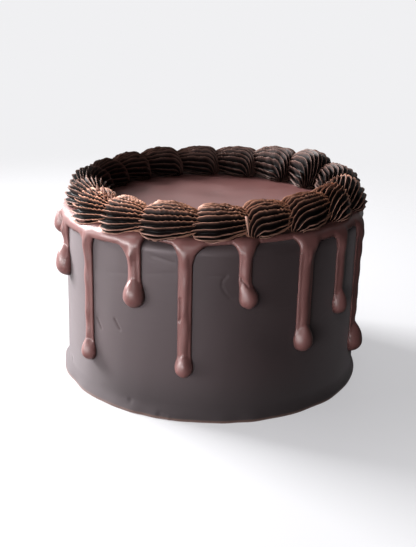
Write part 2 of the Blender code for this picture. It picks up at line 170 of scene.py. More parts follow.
STRAND_SHIFTS = {5: -1.8}  # millimetres that a drip's strand hangs beside its middle, by number
BACK_DRIPS = 9
BACK_SEED = 11
BACK_START = 34  # degrees from the last drip at the front to the first one at the back
BACK_WANDER = 2.5  # degrees that a drip at the back lies off its even place
HIGH_TIPS, LOW_TIPS = (48, 62), (15, 38)  # where they end in turn
BACK_STRANDS, BACK_SWELLS = (6.4, 8.2), (2.0, 4.0)
BACK_FLARES, BACK_SHOULDERS = (3.0, 6.5), (86.5, 90.2)

# A mark, in millimetres across and up, with its half width and depth: creases in the drips, by number
Crease = namedtuple("Crease", "drip from_across from_height to_across to_height width depth")
DRIP_CREASES = (
    Crease(4, -1.8, 64.3, -1.7, 54.2, 0.5, 1.5),
    Crease(4, -2.2, 53.3, -2.2, 52.9, 0.6, 1.5),
    Crease(5, -3.0, 76.5, 0.3, 71.4, 0.6, 1.0),
)


# ---------------------------------------------------------------- helpers


def smoothstep(low, high, value):
    share = np.clip((value - low) / (high - low), 0.0, 1.0)
    return share * share * (3 - 2 * share)


def wrapped(turn):
    """Angles brought to within half a turn of zero."""
    return (turn + math.pi) % math.tau - math.pi


def polar(radius, angle, z):
    """Points from arrays, or numbers, of radius, angle and height."""
    radius, angle, z = np.broadcast_arrays(radius, angle, z)
    return np.stack((radius * np.cos(angle), radius * np.sin(angle), z), axis=-1)


class Ripple:
    """Smooth noise of one or more coordinates, made of waves whose lengths lie about one value."""

    def __init__(self, rng, wavelength, waves=7, dimensions=1, spread=0.4):
        self.waves = []
        for _ in range(waves):
            length = wavelength * (1 + rng.uniform(-spread, spread))
            direction = np.array([rng.gauss(0, 1) for _ in range(dimensions)])
            direction /= np.linalg.norm(direction)
            self.waves.append((direction * math.tau / length, rng.uniform(0, math.tau)))

    def __call__(self, *coordinates):
        total = 0.0
        for wave, phase in self.waves:
            total = total + np.sin(sum(k * x for k, x in zip(wave, coordinates)) + phase)
        return total / math.sqrt(len(self.waves))


def streak(across, height, mark):
    """How strongly a mark shows at each place: 1 along its middle, fading to its sides and ends."""
    start = np.array((mark.from_across, mark.from_height))
    run = np.array((mark.to_across, mark.to_height)) - start
    length = np.hypot(*run)
    past, up = across - start[0], height - start[1]
    share = np.clip((past * run[0] + up * run[1]) / max(length, 1e-6) ** 2, 0.0, 1.0)
    away = np.hypot(past - share * run[0], up - share * run[1])
    return np.exp(-((away / mark.width) ** 2))


def grid_faces(rows, columns, offset=0):
    """Quads of a grid whose columns close on themselves."""
    row = np.arange(rows - 1)[:, None] * columns + offset
    here = row + np.arange(columns)[None, :]
    after = row + (np.arange(columns)[None, :] + 1) % columns
    return np.stack((here, after, after + columns, here + columns), axis=-1).reshape(-1, 4).tolist()


def tube_faces(rings, columns):
    """Faces of a closed form of rings of points, which are followed by its first and its last end."""
    faces = grid_faces(rings, columns)
    first_end, last_ring = rings * columns, (rings - 1) * columns
    for k in range(columns):
        after = (k + 1) % columns
        faces.append((first_end, after, k))
        faces.append((first_end + 1, last_ring + k, last_ring + after))
    return faces


def new_piece(name, points, faces, material, node, values=None):
    """A smooth mesh that stands for a node of the frame."""
    mesh = bpy.data.meshes.new(name)
    mesh.from_pydata([tuple(p) for p in np.asarray(points).tolist()], [], [tuple(f) for f in faces])
    mesh.validate()
    for label, numbers in (values or {}).items():
        layer = mesh.attributes.new(label, "FLOAT", "POINT")
        layer.data.foreach_set("value", np.asarray(numbers, dtype=np.float32))
    mesh.shade_smooth()
    mesh.materials.append(material)
    piece = bpy.data.objects.new(name, mesh)
    bpy.context.scene.collection.objects.link(piece)
    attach(piece, "root")
    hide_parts(node)


# ---------------------------------------------------------------- materials

# Colours in linear light. Where there are two, the darker and the lighter patches of a finish
WALL_COCOA = ((0.021, 0.0105, 0.0110), (0.027, 0.0135, 0.0140))
FOOT_SHADE_COCOA = (0.008, 0.004, 0.004)  # painted shade: the wall darkens low down, towards the foot
LIP_COCOA = (0.150, 0.078, 0.055)  # the thin lip of the foot
SMEARED_COCOA = (0.020, 0.006, 0.004)  # in two nicks of the scraper
WALL_GLEAM = (1.0, 0.87, 0.92, 1.0)
WALL_BLOOM = (1.0, 0.90, 0.94, 1.0)
MILKY_GANACHE = ((0.183, 0.078, 0.073), (0.215, 0.093, 0.088))
PIPED_COCOA = ((0.048, 0.026, 0.022), (0.068, 0.037, 0.032))
# Painted shade: the nearly black colour down in the shells' grooves
GROOVE_SHADE_COCOA = (0.004, 0.002, 0.002)
DRIED_AND_LIT_EDGE_COCOA = ((0.31, 0.170, 0.136), (0.78, 0.36, 0.22))  # the ridges' edges, smooth and torn: partly paler dried frosting, partly a painted highlight where light catches them
GROOVE_SHADE_SPAN = (0.12, 0.48)  # shares of a groove's depth between which painted shade darkens the frosting
PATCH_SPAN = (0.3, 0.7)  # the noise's values between which a finish goes from one look to the other


def add_node(tree, kind, **settings):
    node = tree.nodes.new(kind)
    for key, value in settings.items():
        setattr(node, key, value)
    return node


def connect(tree, source, target):
    tree.links.new(source, target)


def reckon(tree, operation, source, number):
    """A linked value worked on with a plain number."""
    node = add_node(tree, "ShaderNodeMath", operation=operation)
    connect(tree, source, node.inputs[0])
    node.inputs[1].default_value = number
    return node.outputs[0]


def spread(tree, source, spans, **settings):
    """A linked value moved from its own span to another."""
    remap = add_node(tree, "ShaderNodeMapRange", **settings)
    for label, value in zip(("From Min", "From Max", "To Min", "To Max"), spans):
        remap.inputs[label].default_value = value
    connect(tree, source, remap.inputs["Value"])
    return remap.outputs["Result"]


def blend(tree, factor, first, second, kind="RGBA"):
    """From the first to the second, each of them a link, a colour or a plain number."""
    mix = add_node(tree, "ShaderNodeMix", data_type=kind)
    connect(tree, factor, mix.inputs["Factor"])
    for value, socket in ((first, mix.inputs["A"]), (second, mix.inputs["B"])):
        if isinstance(value, tuple):
            socket.default_value = (*value, 1.0)
        elif isinstance(value, float):
            socket.default_value = value
        else:
            connect(tree, value, socket)
    return mix.outputs["Result"]


def mottle_group():
    """Uneven cocoa: a slow colour drift, fine grain, and the height of both."""
    group = bpy.data.node_groups.new("uneven_cocoa", "ShaderNodeTree")
    for label, value in (("Patch Size", 0.02), ("Grain Size", 0.0008), ("Grain Share", 0.5)):
        socket = group.interface.new_socket(label, in_out="INPUT", socket_type="NodeSocketFloat")
        socket.default_value = value
    for label in ("Patches", "Grain", "Height"):
        group.interface.new_socket(label, in_out="OUTPUT", socket_type="NodeSocketFloat")
    inlet, outlet = add_node(group, "NodeGroupInput"), add_node(group, "NodeGroupOutput")
    place = add_node(group, "ShaderNodeNewGeometry")
    noises = []
    for label, out, detail in (("Patch Size", "Patches", 3.0), ("Grain Size", "Grain", 2.0)):
        scale = add_node(group, "ShaderNodeMath", operation="DIVIDE")
        scale.inputs[0].default_value = 1.0
        connect(group, inlet.outputs[label], scale.inputs[1])
        noise = add_node(group, "ShaderNodeTexNoise")
        noise.inputs["Detail"].default_value = detail
        connect(group, place.outputs["Position"], noise.inputs["Vector"])
        connect(group, scale.outputs[0], noise.inputs["Scale"])
        connect(group, noise.outputs["Fac"], outlet.inputs[out])
        noises.append(noise.outputs["Fac"])
    height = blend(group, inlet.outputs["Grain Share"], *noises, kind="FLOAT")
    connect(group, height, outlet.inputs["Height"])
    return group


class Finish:
    """A material under construction, with its uneven cocoa group. Its sizes are in metres."""

    def __init__(self, name, mottle, patch_size, grain_size, grain_share, **plain):
        self.material = bpy.data.materials.new(name)
        self.material.use_nodes = True
        self.tree = self.material.node_tree
        self.shader = self.tree.nodes["Principled BSDF"]
        for label, value in plain.items():
            self.shader.inputs[label.replace("_", " ")].default_value = value
        self.mottle = add_node(self.tree, "ShaderNodeGroup", node_tree=mottle)
        self.mottle.inputs["Patch Size"].default_value = patch_size
        self.mottle.inputs["Grain Size"].default_value = grain_size
        self.mottle.inputs["Grain Share"].default_value = grain_share

    def mottled(self, low, high, output="Patches"):
        """A value that goes from low to high with the uneven cocoa."""
        return spread(self.tree, self.mottle.outputs[output], (*PATCH_SPAN, low, high))

    def patchy(self, darker, lighter):
        """A colour that goes from darker to lighter patches."""
        return blend(self.tree, self.mottled(0.0, 1.0), darker, lighter)

    def value_of(self, label):
        """The mesh's own values of that name."""
        return add_node(self.tree, "ShaderNodeAttribute", attribute_name=label).outputs["Fac"]

    def feed(self, label, source):
        connect(self.tree, source, self.shader.inputs[label])

    def bump(self, strength, distance):
        node = add_node(self.tree, "ShaderNodeBump")
        node.inputs["Strength"].default_value = strength
        node.inputs["Distance"].default_value = distance
        connect(self.tree, self.mottle.outputs["Height"], node.inputs["Height"])
        self.feed("Normal", node.outputs["Normal"])


def smooth_frosting_material(mottle):
    finish = Finish(
        "smoothed_dark_frosting",
        mottle,
        patch_size=0.030,
        grain_size=0.0011,
        grain_share=0.35,
        Specular_IOR_Level=1.0,
        Specular_Tint=WALL_GLEAM,
        Sheen_Weight=0.38,
        Sheen_Tint=WALL_BLOOM,
        Sheen_Roughness=0.5,
    )
    low, smear = finish.value_of("low"), finish.value_of("smear")
    # Painted shade: the wall's colour darkens towards the foot
    shaded_wall = blend(finish.tree, low, finish.patchy(*WALL_COCOA), FOOT_SHADE_COCOA)
    foot = blend(finish.tree, finish.value_of("lip"), shaded_wall, LIP_COCOA)
    finish.feed("Base Color", blend(finish.tree, smear, foot, SMEARED_COCOA))
    rubbed = blend(finish.tree, low, finish.mottled(0.50, 0.60), 0.80, kind="FLOAT")
    finish.feed("Roughness", blend(finish.tree, smear, rubbed, 0.97, kind="FLOAT"))
    finish.bump(strength=0.12, distance=0.3 * MM)
    return finish.material


def ganache_material(mottle):
    finish = Finish(
        "set_milky_ganache",
        mottle,
        patch_size=0.018,
        grain_size=0.0009,
        grain_share=0.3,
        Specular_IOR_Level=0.7,
    )
    finish.feed("Base Color", finish.patchy(*MILKY_GANACHE))
    finish.feed("Roughness", finish.mottled(0.32, 0.42))
    finish.bump(strength=0.10, distance=0.2 * MM)
    return finish.material


def piped_frosting_material(mottle):
    finish = Finish(
        "piped_dark_frosting",
        mottle,
        patch_size=0.012,
        grain_size=0.0006,
        grain_share=0.7,
        Specular_IOR_Level=0.22,
    )
    # Painted shade: the frosting goes nearly black down in the grooves
    dark = spread(finish.tree, finish.value_of("groove_shade"), (*GROOVE_SHADE_SPAN, 0.0, 1.0))
    plates = blend(finish.tree, dark, finish.patchy(*PIPED_COCOA), GROOVE_SHADE_COCOA)
    # The ridges' edges: partly the paler dried and torn frosting, partly a painted highlight where light
    # catches them
    lit_dried_edges = blend(finish.tree, finish.value_of("torn"), *DRIED_AND_LIT_EDGE_COCOA)
    finish.feed("Base Color", blend(finish.tree, finish.value_of("crest"), plates, lit_dried_edges))
    finish.feed("Roughness", finish.mottled(0.48, 0.66, output="Grain"))
    finish.bump(strength=0.35, distance=0.3 * MM)
    return finish.material


# ---------------------------------------------------------------- the frosted body

BODY_SEED = 5
BODY_COLUMNS = 720
WALL_STEP = 0.72 * MM
LIP_HEIGHTS = (0.0, 0.35 * MM, 0.8 * MM)
FOOT_RINGS = 10
EDGE_TURNS = (12, 24, 38, 52, 66, 80, 90)  # degrees round the top edge
LIP_TUCK = 0.45 * MM  # how far the lip of the foot rounds in at the floor
LIP_FADE = (0.5 * MM, 1.6 * MM)  # heights between which the lip's own colour ends
# heights between which the painted shade at the foot fades out
FOOT_SHADE_FADE = (1 * MM, 32 * MM)
# Lengths and heights of the foot's ripple, and of the wall's slow waves, small ripples and fine strokes
FOOT_RIPPLE, FOOT_UNEVEN = 18 * MM, 0.25 * MM
FOOT_CIRCLE = 80 * MM  # where that ripple is read
WAVE_LENGTH, WAVE_HEIGHT = 60 * MM, 0.10 * MM
RIPPLE_LENGTH, RIPPLE_HEIGHT = 20 * MM, 0.03 * MM
STROKE_LENGTH, STROKE_HEIGHT = 4.5 * MM, 0.006 * MM
STROKE_WANDER = 4 * MM
WAVES_WHOLE = 6 * MM  # the height from which the wall has them in full
# Marks in the wall, from one angle and height to another, in degrees and millimetres: nicks of the scraper,
# the edge of a smoothed patch, dents near the foot. The half width and depth are in millimetres, a negative
# depth stands out, and the smear is how brown the frosting is rubbed there
Nick = namedtuple("Nick", "from_angle from_height to_angle to_height width depth smear", defaults=(0.0,))
WALL_NICKS = (
    Nick(-91.7, 75.9, -85.0, 75.9, 0.4, 0.16),
    Nick(-85.0, 76.0, -86.4, 73.6, 0.4, 0.16),
    Nick(-86.4, 73.6, -86.6, 71.1, 0.4, 0.16),
    Nick(-86.6, 71.1, -85.5, 67.6, 0.4, 0.18),
    Nick(-85.5, 67.6, -83.7, 65.1, 0.4, 0.20),
    Nick(-83.7, 65.1, -82.0, 64.8, 0.4, 0.20),
    Nick(-74.2, 57.9, -60.4, 56.5, 0.4, 0.12),
    Nick(-126.5, 46.8, -124.2, 42.3, 0.6, 0.40, 1.0),
    Nick(-135.7, 43.9, -133.5, 39.4, 0.6, 0.40, 1.0),
    Nick(-110.4, 83.4, -103.2, 81.2, 0.6, 0.14),
    Nick(-129.3, 70.2, -101.8, 76.6, 0.9, 0.04),
    Nick(-160.0, 9.3, -159.0, 9.0, 1.2, 0.35),
    Nick(-119.7, 5.6, -119.4, 5.3, 1.1, 0.45),
    Nick(-107.6, 2.4, -107.2, 2.4, 1.0, 0.45),
    Nick(-104.2, 1.2, -103.9, 1.0, 0.9, -0.5),
)


def wall_marks(angle, z):
    """How far the marks cut into the wall at each angle, at one height, and how brown they are smeared."""
    cut, smear = np.zeros_like(angle), np.zeros_like(angle)
    for nick in WALL_NICKS:
        middle = math.radians((nick.from_angle + nick.to_angle) / 2)
        half = math.radians(nick.to_angle - nick.from_angle) / 2 * BODY_RADIUS / MM
        across = wrapped(angle - middle) * BODY_RADIUS / MM
        line = Crease(0, -half, nick.from_height, half, nick.to_height, nick.width, nick.depth)
        strength = streak(across, np.full_like(angle, z / MM), line)
        cut += nick.depth * MM * strength
        smear += nick.smear * strength
    return cut, smear


def body_heights():
    """Heights of the body's rings of points, from the floor up to where the top edge starts to round."""
    wall_top = BODY_HEIGHT - BODY_EDGE
    steps = round((wall_top - FOOT_HEIGHT) / WALL_STEP)
    foot = [FOOT_LIP + (FOOT_HEIGHT - FOOT_LIP) * k / FOOT_RINGS for k in range(1, FOOT_RINGS + 1)]
    wall = [FOOT_HEIGHT + (wall_top - FOOT_HEIGHT) * k / steps for k in range(1, steps + 1)]
    return [*LIP_HEIGHTS, *foot, *wall]


def make_body(material):
    """The smoothed wall: nearly true, with the scraper's faint waves, a few nicks and an uneven foot."""
    rng = random.Random(BODY_SEED)
    wave = Ripple(rng, WAVE_LENGTH, dimensions=3)
    ripple = Ripple(rng, RIPPLE_LENGTH, dimensions=3)
    strokes = Ripple(rng, STROKE_LENGTH)
    foot_ripple = Ripple(rng, FOOT_RIPPLE, dimensions=2)
    angle = np.arange(BODY_COLUMNS) * math.tau / BODY_COLUMNS
    cos, sin = np.cos(angle), np.sin(angle)
    foot = FOOT_RADIUS + FOOT_SPREAD * np.maximum(-cos, 0.0) ** 2
    foot = foot + FOOT_UNEVEN * foot_ripple(FOOT_CIRCLE * cos, FOOT_CIRCLE * sin)
    rings, smears = [], []
    for z in body_heights():
        if z < FOOT_LIP:
            radius = foot - LIP_TUCK * (1 - z / FOOT_LIP) ** 2
        else:
            rise = np.clip((z - FOOT_LIP) / (FOOT_HEIGHT - FOOT_LIP), 0.0, 1.0)
            radius = BODY_RADIUS + (foot - BODY_RADIUS) * (1 - rise) ** 2
        place = BODY_RADIUS * cos, BODY_RADIUS * sin, np.full_like(angle, z)
        uneven = WAVE_HEIGHT * wave(*place) + RIPPLE_HEIGHT * ripple(*place)
        uneven = uneven + STROKE_HEIGHT * strokes(z + STROKE_WANDER * wave(*place))
        cut, smear = wall_marks(angle, z)
        rings.append(polar(radius + uneven * smoothstep(0.0, WAVES_WHOLE, z) - cut, angle, z))
        smears.append(smear)
    for degrees in EDGE_TURNS:
        turn = math.radians(degrees)
        radius = BODY_RADIUS - BODY_EDGE + BODY_EDGE * math.cos(turn)
        rings.append(polar(radius, angle, BODY_HEIGHT - BODY_EDGE + BODY_EDGE * math.sin(turn)))
        smears.append(np.zeros_like(angle))
    points = np.concatenate((*rings, [(0, 0, 0), (0, 0, BODY_HEIGHT)]))
    values = {
        "lip": 1 - smoothstep(*LIP_FADE, points[:, 2]),
        # towards the foot: painted shade darkens the wall, and it grows rougher
        "low": 1 - smoothstep(*FOOT_SHADE_FADE, points[:, 2]),
        "smear": np.concatenate((*smears, [0.0, 0.0])),
    }
    faces = tube_faces(len(rings), BODY_COLUMNS)
    new_piece("frosted_body", points, faces, material, "cake_body", values)


# ---------------------------------------------------------------- the poured ganache

BULB_LENGTH = 1.5  # of a bulb, as a share of its width
BULB_RUN_OUT = 0.7  # of that length, where a bulb's outline has run out into its strand
SHIFT_FROM = 0.4  # of that length, where a strand that hangs beside its middle starts to move over
OUTLINE_JOIN, DEPTH_JOIN = 6, 5  # how closely a strand keeps to its own form up to its bulb
FLARE_LEAST, FLARE_SLOPE = 5.0, 0.75  # millimetres that a flare reaches down, and more for each of its width
FINE = 0.58  # millimetres between the points of the drips
FLARE_POINTS, BULB_POINTS = 1.3, 1.6  # points of the outline along each of those lengths
TIP_CLOSING = 1.7  # how much closer they lie towards a tip
BAND_LOW = 83.5  # below this height, in millimetres, the ganache is drips alone
ARCH_STEP = 1.6 * FINE  # along the band's edge
EDGE_CLEARANCE = 0.55 * FINE * MM  # between the edge and the nearest points inside it
BEND_MARGIN = 4 * MM  # of the flat top, over which the points inside move apart
SMALLEST_RING = 4 * MM
FLAT_STEP = 3.2  # by how many times more they lie apart in its middle
RING_STEP = 1.15  # the steps along a ring, as a share of those from ring to ring
COARSE_SHARE = 9  # one in so many points inside is also on the lower side
POUR_SEED = 23
# The bead down a strand: the lengths in millimetres over which its line sways and its height swells, how
# much, and how far it lies off the middle
SWAY_LENGTH, SWAY = 21.0, 0.25
SWELL_LENGTH, SWELL = 13.0, 0.10
BEAD_LEAN = 0.3
BEAD_ROUNDNESS = 0.8
# Lengths, in millimetres, and heights of the skin's soft and slow unevenness
SOFT_LENGTH, SOFT_HEIGHT = 13.0, 0.10 * MM
SLOW_LENGTH, SLOW_HEIGHT = 27.0, 0.12 * MM
SOFT_MARGIN = 6 * MM  # of the flat top, where the soft one fades out
THINNEST = 0.2 * MM


def way_at_height(z):
    """How far from the middle of the top, along the skin, that height on the wall or the bend lies."""
    if z <= BEND_CENTRE:
        return WALL_START + BEND_CENTRE - z
    return FLAT_TOP + BEND * math.acos(min((z - BEND_CENTRE) / BEND, 1.0))


def on_skin(way, angle, depth):
    """Points at that way and angle, a depth out from the body."""
    way, angle, depth = np.broadcast_arrays(way, angle, depth)
    turn = np.clip((way - FLAT_TOP) / BEND, 0.0, math.pi / 2)
    below = np.maximum(way - WALL_START, 0.0)
    reach = BEND + depth
    radius = np.where(way <= FLAT_TOP, way, FLAT_TOP + reach * np.sin(turn))
    bent = BEND_CENTRE + reach * np.cos(turn) - below
    return polar(radius, angle, np.where(way <= FLAT_TOP, BODY_HEIGHT + GAP + depth, bent))


def all_drips():
    """The drips in order round the cake. Those at the back go on in the same uneven manner."""
    rng = random.Random(BACK_SEED)
    first = FRONT_DRIPS[-1].angle
    span = FRONT_DRIPS[0].angle + 360 - first
    drips = list(FRONT_DRIPS)
    for k in range(BACK_DRIPS):
        angle = first + BACK_START + (span - BACK_START) * k / BACK_DRIPS
        angle += rng.uniform(-BACK_WANDER, BACK_WANDER)
        tip = rng.uniform(*(LOW_TIPS if k % 2 else HIGH_TIPS))
        strand = rng.uniform(*BACK_STRANDS)
        bulb = strand + rng.uniform(*BACK_SWELLS)
        flares = rng.uniform(*BACK_FLARES), rng.uniform(*BACK_FLARES)
        shoulders = rng.uniform(*BACK_SHOULDERS), rng.uniform(*BACK_SHOULDERS)
        drips.append(Drip(angle, tip, strand, bulb, *flares, *shoulders))
    return drips


def bulb_shape(above_tip, length, radius):
    """Half width and relative depth of a hanging bulb: round below, drawn out to a point above."""
    if above_tip < radius:
        share = math.sqrt(max(1 - (1 - above_tip / radius) ** 2, 0.0))
    else:
        share = (1 - min((above_tip - radius) / (length - radius), 1.0) ** 2) ** 0.75
    return radius * share, share


class DripShape:
    """One drip's outline and depth, in millimetres along (across) and down the wall (height)."""

    def __init__(self, drip, shift):
        self.drip = drip
        self.shift = shift
        self.shoulder = {-1: drip.shoulder_left, 1: drip.shoulder_right}
        self.flare_width = {-1: drip.flare_left, 1: drip.flare_right}
        self.bulb_length = BULB_LENGTH * drip.bulb
        self.flare_drop = {}
        for side in (-1, 1):
            room = self.shoulder[side] - drip.tip
            above_bulb = max(room - BULB_RUN_OUT * self.bulb_length, 0.25 * room)
            self.flare_drop[side] = min(FLARE_LEAST + FLARE_SLOPE * self.flare_width[side], above_bulb)

    def half_width(self, side, z):
        drip = self.drip
        swell, _ = bulb_shape(z - drip.tip, self.bulb_length, drip.bulb / 2)
        if z - drip.tip < drip.bulb / 2:
            return swell
        width = ((drip.strand / 2) ** OUTLINE_JOIN + swell**OUTLINE_JOIN) ** (1 / OUTLINE_JOIN)
        up_flare = 1 - (self.shoulder[side] - z) / self.flare_drop[side]
        if up_flare > 0:
            width += self.flare_width[side] * (1 - math.sqrt(max(1 - up_flare**2, 0.0)))
        return width

    def middle(self, z):
        """Where the middle of the strand lies at a height, or at an array of them."""
        low = self.drip.tip + SHIFT_FROM * self.bulb_length
        return self.shift * smoothstep(low, self.drip.tip + self.bulb_length, z)

    def place(self, across, z):
        """The way and angle of a place on the wall."""
        return way_at_height(z * MM), math.radians(self.drip.angle) + across * MM / WALL_RADIUS

    def edge(self, side):
        """Outline points (across, height) from the band down to the tip, without the tip."""
        top, drop = self.shoulder[side], self.flare_drop[side]
        steps = max(round(FLARE_POINTS * (drop + self.flare_width[side]) / FINE), 4)
        heights = [top - drop * (1 - math.cos(math.pi / 2 * k / steps)) for k in range(steps + 1)]
        low, high = self.drip.tip + BULB_RUN_OUT * self.bulb_length, heights[-1]
        if high > low:
            rows = max(round((high - low) / FINE), 1)
            heights += [high + (low - high) * k / rows for k in range(1, rows + 1)]
        top = heights[-1] - self.drip.tip
        steps = round(BULB_POINTS * top / FINE)
        heights += [self.drip.tip + top * (1 - k / steps) ** TIP_CLOSING for k in range(1, steps)]
        return [(self.middle(z) + side * self.half_width(side, z), z) for z in heights]

    def bulb_depth(self, across, z):
        """Depth of the bulb alone, as a share of its greatest depth: with a keel above, round below."""
        width, share = bulb_shape(z - self.drip.tip, self.bulb_length, self.drip.bulb / 2)
        if width <= 0 or abs(across) >= width or z < self.drip.tip:
            return 0.0
        keel, roundness = 1.3 + 0.7 * share, 0.9 - 0.4 * share
        return share * (1 - abs(across / width) ** keel) ** roundness


def outline_places(shapes):
    """Ways and angles of the ganache's edge: down and up each drip, and across from drip to drip."""
    outline = []
    for shape in shapes:
        for across, z in [*shape.edge(-1), (0.0, shape.drip.tip), *reversed(shape.edge(1))]:
            outline.append(shape.place(across, z))
    arches = []
    for k, (way, angle) in enumerate(outline):
        arches.append((way, angle))
        next_way, next_angle = outline[(k + 1) % len(outline)]
        turn = wrapped(next_angle - angle)
        steps = int(abs(turn) * WALL_RADIUS / MM / ARCH_STEP)
        for n in range(1, steps):
            arches.append((way + (next_way - way) * n / steps, angle + turn * n / steps))
    return np.array(arches)


def drip_places(shapes):
    """Ways and angles of the points inside the drips, in staggered rows."""
    places = []
    for shape in shapes:
        for row in range(1, int((BAND_LOW - shape.drip.tip) / FINE) + 1):
            z = shape.drip.tip + row * FINE
            left, right = shape.half_width(-1, z), shape.half_width(1, z)
            for n in range(-int(left / FINE) - 1, int(right / FINE) + 2):
                across = (n + 0.5 * (row % 2)) * FINE
                if -left < across < right:
                    places.append(shape.place(across + shape.middle(z), z))
    return places


def top_places():
    """Ways and angles of rings of points from the band to the middle of the top, wider apart on the flat."""
    places = []
    way, row = way_at_height(BAND_LOW * MM), 0
    while way > SMALLEST_RING:
        flat = 1 - smoothstep(FLAT_TOP - BEND_MARGIN, FLAT_TOP, way)
        step = FINE * MM * (1 + FLAT_STEP * flat)
        count = int(math.tau * min(way, WALL_RADIUS) / (RING_STEP * step))
        places += [(way, math.tau * (k + 0.5 * (row % 2)) / count) for k in range(count)]
        way -= step
        row += 1
    return [*places, (0.0, 0.0)]


def disc_place(way, angle):
    """Places on the skin laid out flat, in millimetres."""
    return np.stack((way / MM * np.cos(angle), way / MM * np.sin(angle)), axis=-1)


def inside_outline(places, outline):
    """Which places lie within a closed outline, by crossings of rays from them."""
    inside = np.zeros(len(places), dtype=bool)
    x, y = places[:, 0], places[:, 1]
    for (x1, y1), (x2, y2) in zip(outline, np.roll(outline, 1, axis=0)):
        if y1 != y2:
            inside ^= ((y1 > y) != (y2 > y)) & (x < (x2 - x1) * (y - y1) / (y2 - y1) + x1)
    return inside


def nearest_distances(points, others):
    tree = KDTree(len(others))
    for k, point in enumerate(others):
        tree.insert(point, k)
    tree.balance()
    return np.array([tree.find(point)[2] for point in points])


def flat_triangles(flat, rim):
    """Corners of the triangles of a flat sheet, whose edge is its first points."""
    loop = [(k, (k + 1) % rim) for k in range(rim)]
    _, _, triangles, origins, _, _ = delaunay_2d_cdt(flat, loop, [], 1, 1e-7)
    return [[origins[corner][0] for corner in triangle] for triangle in triangles]


def make_ganache(material):
    """A closed skin: a fine upper side, and a coarse lower one on the same outline."""
    shapes = [DripShape(drip, STRAND_SHIFTS.get(k, 0.0)) for k, drip in enumerate(all_drips())]
    outline, inner = outline_places(shapes), np.array(drip_places(shapes) + top_places())
    from_edge = nearest_distances(on_skin(*inner.T, 0.0), on_skin(*outline.T, 0.0))
    kept = from_edge > EDGE_CLEARANCE
    kept &= inside_outline(disc_place(*inner.T), disc_place(*outline.T))
    way, angle = np.concatenate((outline, inner[kept])).T
    from_edge = np.concatenate((np.zeros(len(outline)), from_edge[kept]))
    upper = on_skin(way, angle, pour_depth(way, angle, from_edge, shapes))
    flat = [Vector(place) for place in disc_place(way, angle).tolist()]
    rim = len(outline)
    faces = flat_triangles(flat, rim)

    coarse = [k for k in range(rim, len(flat)) if k % COARSE_SHARE == 0]
    corners = list(range(rim)) + coarse
    lower_of = {k: len(upper) + n for n, k in enumerate(coarse)}
    for triangle in flat_triangles([flat[k] for k in corners], rim):
        faces.append([lower_of.get(corners[k], corners[k]) for k in reversed(triangle)])
    points = np.concatenate((upper, on_skin(way[coarse], angle[coarse], 0.0)))
    new_piece("poured_ganache", points, faces, material, "ganache")


def rounded_lip(from_edge, depth, width):
    """The depth of a layer that rounds over to nothing within a width of its edge."""
    return depth * np.sqrt(1 - (1 - np.clip(from_edge / width, 0.0, 1.0)) ** 2)


def pour_depth(way, angle, from_edge, shapes):
    """How deep the ganache lies: a soft band, and drips with a thin margin, a bead and a bulb."""
    rng = random.Random(POUR_SEED)
    height = (BEND_CENTRE - (way - WALL_START)) / MM
    band = rounded_lip(from_edge, POUR_DEPTH, POUR_EDGE)
    margin = rounded_lip(from_edge, MARGIN_DEPTH, MARGIN_EDGE)
    hanging, beads, bulbs, creases = (np.zeros_like(band) for _ in range(4))
    for number, shape in enumerate(shapes):
        sway, swell = Ripple(rng, SWAY_LENGTH, waves=3), Ripple(rng, SWELL_LENGTH, waves=4)
        lean = rng.uniform(-BEAD_LEAN, BEAD_LEAN)
        drip = shape.drip
        across = wrapped(angle - math.radians(drip.angle)) * WALL_RADIUS / MM - shape.middle(height)
        near = np.where(np.abs(across) < drip.strand / 2 + max(drip.flare_left, drip.flare_right))[0]
        side, high = across[near], height[near]
        shoulder = np.where(side < 0, drip.shoulder_left, drip.shoulder_right)
        hanging[near] = smoothstep(shoulder - BAND_FADE[0], shoulder - BAND_FADE[1], high)
        off_middle = (side - lean - SWAY * sway(high)) / (BEAD_SHARE * drip.strand / 2)
        bead = np.clip(1 - off_middle**2, 0.0, 1.0) ** BEAD_ROUNDNESS * (1 + SWELL * swell(high))
        beads[near] = np.maximum(beads[near], bead * smoothstep(*BEAD_FADE, high))
        for k in near[(high < drip.tip + shape.bulb_length) & (np.abs(side) < drip.bulb / 2)]:
            bulbs[k] = BULB_DEPTH * drip.bulb * MM * shape.bulb_depth(across[k], height[k])
        for mark in DRIP_CREASES:
            if mark.drip == number:
                creases[near] += mark.depth * MM * streak(side, high, mark)
    layer = band + (margin - band) * hanging + BEAD_HEIGHT * beads
    depth = (layer**DEPTH_JOIN + bulbs**DEPTH_JOIN) ** (1 / DEPTH_JOIN)
    soft, slow = Ripple(rng, SOFT_LENGTH, dimensions=2), Ripple(rng, SLOW_LENGTH, dimensions=2)
    place = disc_place(way, angle).T
    uneven = SOFT_HEIGHT * soft(*place) * smoothstep(FLAT_TOP - SOFT_MARGIN, FLAT_TOP, way)
    uneven = (uneven + SLOW_HEIGHT * slow(*place)) * smoothstep(0.0, POUR_EDGE, from_edge)
    return np.where(from_edge > 0, np.maximum(depth + uneven - creases, THINNEST), depth)


# ---------------------------------------------------------------- the piped border

SHELL_SEED = 100
OUTER_CRESTS = (0, 12, 24, 37, 51, 67, 84, 102, 120)  # degrees from the top of a shell to its ridges
INNER_CRESTS = 0.96  # of those, on the side towards the middle of the cake
CREST_WANDER = 1.6  # degrees
GROOVE_SPREAD = (0.85, 1.1)  # the least and the most that a groove is deep, as shares of the usual depth
